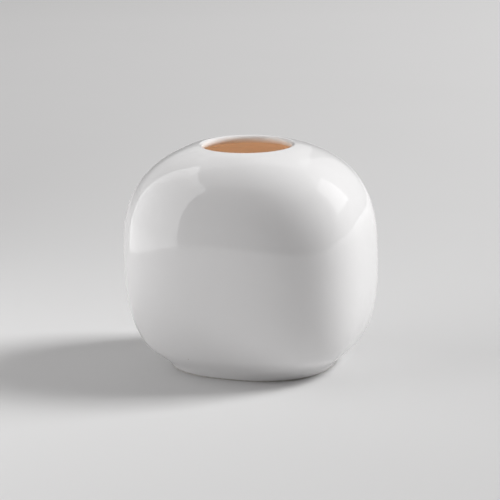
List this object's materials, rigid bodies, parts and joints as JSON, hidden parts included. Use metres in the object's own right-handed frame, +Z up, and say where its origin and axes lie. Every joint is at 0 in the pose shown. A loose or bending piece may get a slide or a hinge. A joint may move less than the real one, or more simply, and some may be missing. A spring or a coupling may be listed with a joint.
{
  "type": "bud vase",
  "caption": "Small soft-square bud vase in white gloss china with a domed shoulder, a narrow oval mouth and a low foot with hollow sides, for a short stem or two.",
  "frame": {"origin": "on the table surface, under the middle of the vase", "axes": "+Z up through the mouth, +X along the longer side of the oblong plan, +Y along the shorter side"},
  "size_m": [0.089, 0.068, 0.08],
  "materials": {
    "bare_china": "unglazed, fine matte",
    "white_glaze": "white gloss",
    "well_glaze": "cream white gloss",
    "foot_glaze": "white gloss"
  },
  "bodies": {
    "root": {"china_body": "bare_china", "outer_glaze": "white_glaze", "inner_glaze": "well_glaze", "foot_glaze": "foot_glaze"}
  },
  "joints": []
}
